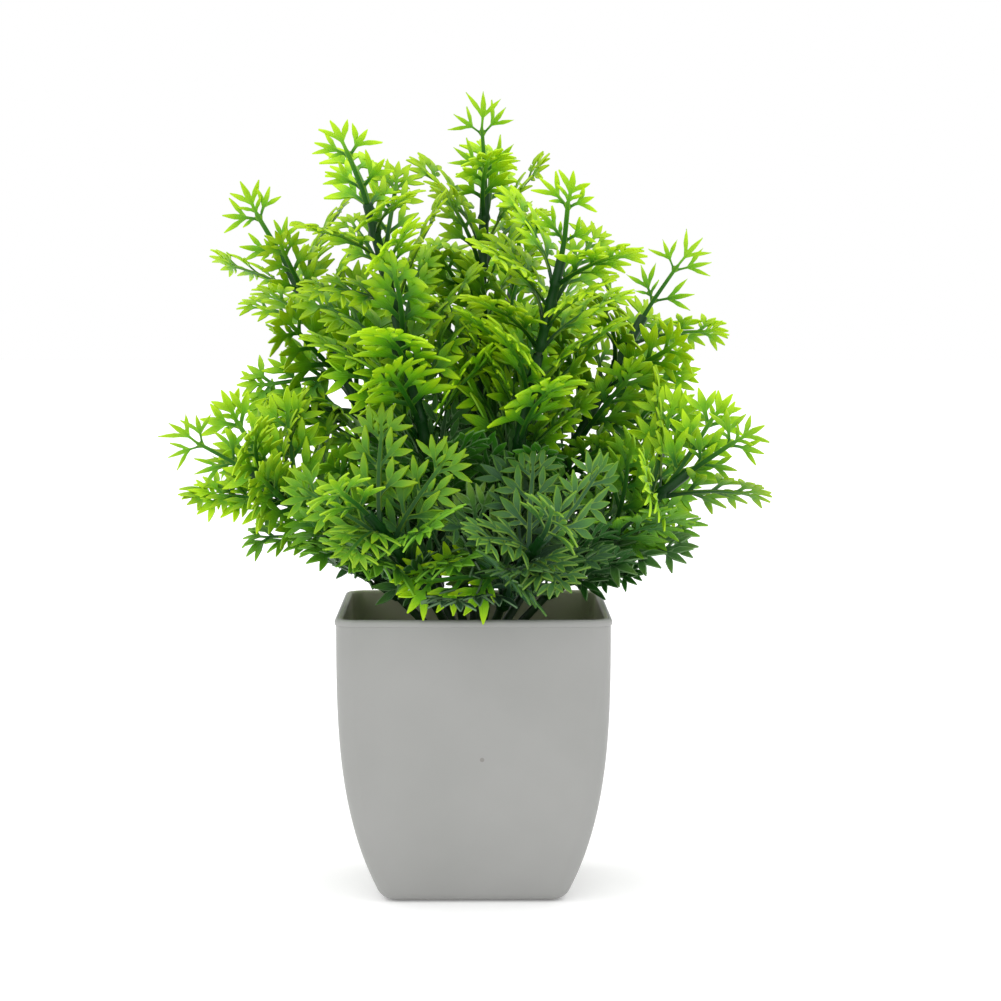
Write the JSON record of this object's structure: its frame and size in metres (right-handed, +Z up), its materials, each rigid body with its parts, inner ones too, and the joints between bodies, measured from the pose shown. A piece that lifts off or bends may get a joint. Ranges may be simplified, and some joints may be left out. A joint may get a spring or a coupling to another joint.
{
  "type": "potted artificial fern bush",
  "caption": "Small artificial fern bush: wire-cored plastic stems with moulded green fronds, standing in a square off-white plastic pot with curved sides.",
  "frame": {"origin": "the middle of the pot's underside, on the surface it stands on", "axes": "+Z up, -Y to the front, +X to the right seen from the front"},
  "size_m": [0.1661, 0.1462, 0.2311],
  "materials": {
    "pot_plastic": "satin",
    "cement": "matte",
    "foam": "matte",
    "crown_plastic": "satin",
    "stem_plastic": "satin",
    "leaf_low": "satin",
    "leaf_mid": "satin",
    "leaf_tip": "satin"
  },
  "bodies": {
    "pot": {"pot": "pot_plastic", "ballast": "cement", "foam_plug": "foam"},
    "bush": {"crown": "crown_plastic"},
    "branch_01": {"stem_01": "stem_plastic", "leaves_01_low": "leaf_low", "leaves_01_mid": "leaf_mid", "leaves_01_tip": "leaf_tip"},
    "branch_02": {"stem_02": "stem_plastic", "leaves_02_low": "leaf_low", "leaves_02_mid": "leaf_mid", "leaves_02_tip": "leaf_tip"},
    "branch_03": {"stem_03": "stem_plastic", "leaves_03_low": "leaf_low", "leaves_03_mid": "leaf_mid", "leaves_03_tip": "leaf_tip"},
    "branch_04": {"stem_04": "stem_plastic", "leaves_04_low": "leaf_low", "leaves_04_mid": "leaf_mid", "leaves_04_tip": "leaf_tip"},
    "branch_05": {"stem_05": "stem_plastic", "leaves_05_low": "leaf_low", "leaves_05_mid": "leaf_mid", "leaves_05_tip": "leaf_tip"},
    "branch_06": {"stem_06": "stem_plastic", "leaves_06_low": "leaf_low", "leaves_06_mid": "leaf_mid", "leaves_06_tip": "leaf_tip"},
    "branch_07": {"stem_07": "stem_plastic", "leaves_07_low": "leaf_low", "leaves_07_mid": "leaf_mid", "leaves_07_tip": "leaf_tip"},
    "branch_08": {"stem_08": "stem_plastic", "leaves_08_low": "leaf_low", "leaves_08_mid": "leaf_mid", "leaves_08_tip": "leaf_tip"},
    "branch_09": {"stem_09": "stem_plastic", "leaves_09_low": "leaf_low", "leaves_09_mid": "leaf_mid", "leaves_09_tip": "leaf_tip"},
    "branch_10": {"stem_10": "stem_plastic", "leaves_10_low": "leaf_low", "leaves_10_mid": "leaf_mid", "leaves_10_tip": "leaf_tip"},
    "branch_11": {"stem_11": "stem_plastic", "leaves_11_low": "leaf_low", "leaves_11_mid": "leaf_mid", "leaves_11_tip": "leaf_tip"},
    "branch_12": {"stem_12": "stem_plastic", "leaves_12_low": "leaf_low", "leaves_12_mid": "leaf_mid", "leaves_12_tip": "leaf_tip"}
  },
  "joints": [
    {"name": "bush_lift", "type": "slide", "parent": "pot", "child": "bush", "axis": [0, 0, 1], "range_m": [0, 0.06]},
    {"name": "stem_01_bend", "type": "hinge", "parent": "bush", "child": "branch_01", "pos_m": [0.00011, 0.0002, 0.0758], "axis": [-0.866, 0.5, 0], "range_deg": [-2, 2.5]},
    {"name": "stem_02_bend", "type": "hinge", "parent": "bush", "child": "branch_02", "pos_m": [-0.00225, -0.00333, 0.07516], "axis": [0.829, -0.5592, 0], "range_deg": [-3, 8]},
    {"name": "stem_03_bend", "type": "hinge", "parent": "bush", "child": "branch_03", "pos_m": [-0.00468, 0.00198, 0.07477], "axis": [-0.3907, -0.9205, 0], "range_deg": [-4, 14]},
    {"name": "stem_04_bend", "type": "hinge", "parent": "bush", "child": "branch_04", "pos_m": [0.00213, -0.00341, 0.07516], "axis": [0.848, 0.5299, 0], "range_deg": [-2, 4]},
    {"name": "stem_05_bend", "type": "hinge", "parent": "bush", "child": "branch_05", "pos_m": [0.00482, 0.00068, 0.07485], "axis": [-0.1392, 0.9903, 0], "range_deg": [-3, 3]},
    {"name": "stem_06_bend", "type": "hinge", "parent": "bush", "child": "branch_06", "pos_m": [0.00113, 0.00452, 0.07494], "axis": [-0.9703, 0.2419, 0], "range_deg": [-2, 12]},
    {"name": "stem_07_bend", "type": "hinge", "parent": "bush", "child": "branch_07", "pos_m": [-0.00857, -0.00151, 0.07246], "axis": [0.1736, -0.9848, 0], "range_deg": [-4, 12]},
    {"name": "stem_08_bend", "type": "hinge", "parent": "bush", "child": "branch_08", "pos_m": [-0.00452, -0.00723, 0.07261], "axis": [0.848, -0.5299, 0], "range_deg": [-3, 9]},
    {"name": "stem_09_bend", "type": "hinge", "parent": "bush", "child": "branch_09", "pos_m": [0.00309, -0.00849, 0.07215], "axis": [0.9397, 0.342, 0], "range_deg": [-3, 8]},
    {"name": "stem_10_bend", "type": "hinge", "parent": "bush", "child": "branch_10", "pos_m": [0.00827, -0.00206, 0.07261], "axis": [0.2419, 0.9703, 0], "range_deg": [-2, 12]},
    {"name": "stem_11_bend", "type": "hinge", "parent": "bush", "child": "branch_11", "pos_m": [0.00624, 0.00582, 0.07261], "axis": [-0.682, 0.7314, 0], "range_deg": [-4, 8]},
    {"name": "stem_12_bend", "type": "hinge", "parent": "bush", "child": "branch_12", "pos_m": [-0.004, 0.00753, 0.07261], "axis": [-0.8829, -0.4695, 0], "range_deg": [-6, 9]}
  ]
}
